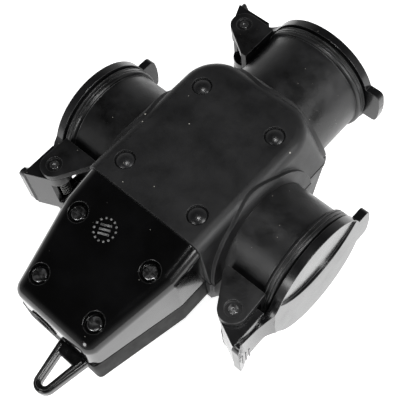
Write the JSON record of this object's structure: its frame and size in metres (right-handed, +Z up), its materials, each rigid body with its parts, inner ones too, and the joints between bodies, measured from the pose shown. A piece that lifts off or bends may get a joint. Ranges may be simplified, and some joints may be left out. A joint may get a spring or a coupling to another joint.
{
  "type": "three-way mains distributor",
  "caption": "Black heavy-duty mains distributor with sprung hinged lids over its earthed sockets, a screwed cable compartment and a hanging loop.",
  "frame": {"origin": "on the body's flat underside, below the crossing of the socket axes", "axes": "+Z up; +Y towards the front socket, away from the cable compartment and its loop; +X towards the right-hand socket"},
  "size_m": [0.1376, 0.2088, 0.0706],
  "materials": {
    "body_rubber": "matte moulded",
    "cap_rubber": "satin moulded",
    "barrel_plastic": "satin moulded",
    "lid_plastic": "satin gloss",
    "cover_plastic": "gloss moulded",
    "loop_plastic": "gloss moulded",
    "seal_rubber": "matte",
    "insert_plastic": "matte",
    "terminal_plastic": "matte",
    "brass": "plain",
    "clip_steel": "nickel plated",
    "spring_steel": "bright drawn",
    "screw_steel": "zinc plated"
  },
  "bodies": {
    "root": {"bar_rivets": "brass", "body_bottom_shell": "body_rubber", "body_screws": "screw_steel", "body_seal": "seal_rubber", "body_top_shell": "body_rubber", "cable_clamp": "terminal_plastic", "cable_entry_grommet": "seal_rubber", "clamp_screws": "screw_steel", "compartment_basin": "cover_plastic", "compartment_cover": "cover_plastic", "compartment_seal": "seal_rubber", "cover_screws": "screw_steel", "earth_bar": "brass", "front_barrel": "barrel_plastic", "front_earth_clip": "clip_steel", "front_hinge_pin": "screw_steel", "front_insert_screws": "screw_steel", "front_lid_spring": "spring_steel", "front_live_sleeve": "brass", "front_neutral_sleeve": "brass", "front_socket_insert": "insert_plastic", "hanging_loop": "loop_plastic", "left_barrel": "barrel_plastic", "left_earth_clip": "clip_steel", "left_hinge_pin": "screw_steel", "left_insert_screws": "screw_steel", "left_lid_spring": "spring_steel", "left_live_sleeve": "brass", "left_neutral_sleeve": "brass", "left_socket_insert": "insert_plastic", "live_bar": "brass", "neutral_bar": "brass", "right_barrel": "barrel_plastic", "right_earth_clip": "clip_steel", "right_hinge_pin": "screw_steel", "right_insert_screws": "screw_steel", "right_lid_spring": "spring_steel", "right_live_sleeve": "brass", "right_neutral_sleeve": "brass", "right_socket_insert": "insert_plastic", "screw_caps": "cap_rubber", "terminal_block": "terminal_plastic", "terminal_screws": "screw_steel"},
    "right_lid_body": {"right_lid": "lid_plastic", "right_lid_seal": "seal_rubber"},
    "left_lid_body": {"left_lid": "lid_plastic", "left_lid_seal": "seal_rubber"},
    "front_lid_body": {"front_lid": "lid_plastic", "front_lid_seal": "seal_rubber"}
  },
  "joints": [
    {"name": "right_lid_hinge", "type": "hinge", "parent": "root", "child": "right_lid_body", "pos_m": [0.0552, -0.0401, 0.035], "axis": [0, 0, -1], "range_deg": [0, 115], "stiffness_Nm_per_rad": 0.03, "springref_deg": -51.57},
    {"name": "left_lid_hinge", "type": "hinge", "parent": "root", "child": "left_lid_body", "pos_m": [-0.0552, -0.0401, 0.035], "axis": [0, 0, 1], "range_deg": [0, 115], "stiffness_Nm_per_rad": 0.03, "springref_deg": -51.57},
    {"name": "front_lid_hinge", "type": "hinge", "parent": "root", "child": "front_lid_body", "pos_m": [-0.0401, 0.0772, 0.035], "axis": [0, 0, 1], "range_deg": [0, 115], "stiffness_Nm_per_rad": 0.03, "springref_deg": -51.57}
  ]
}
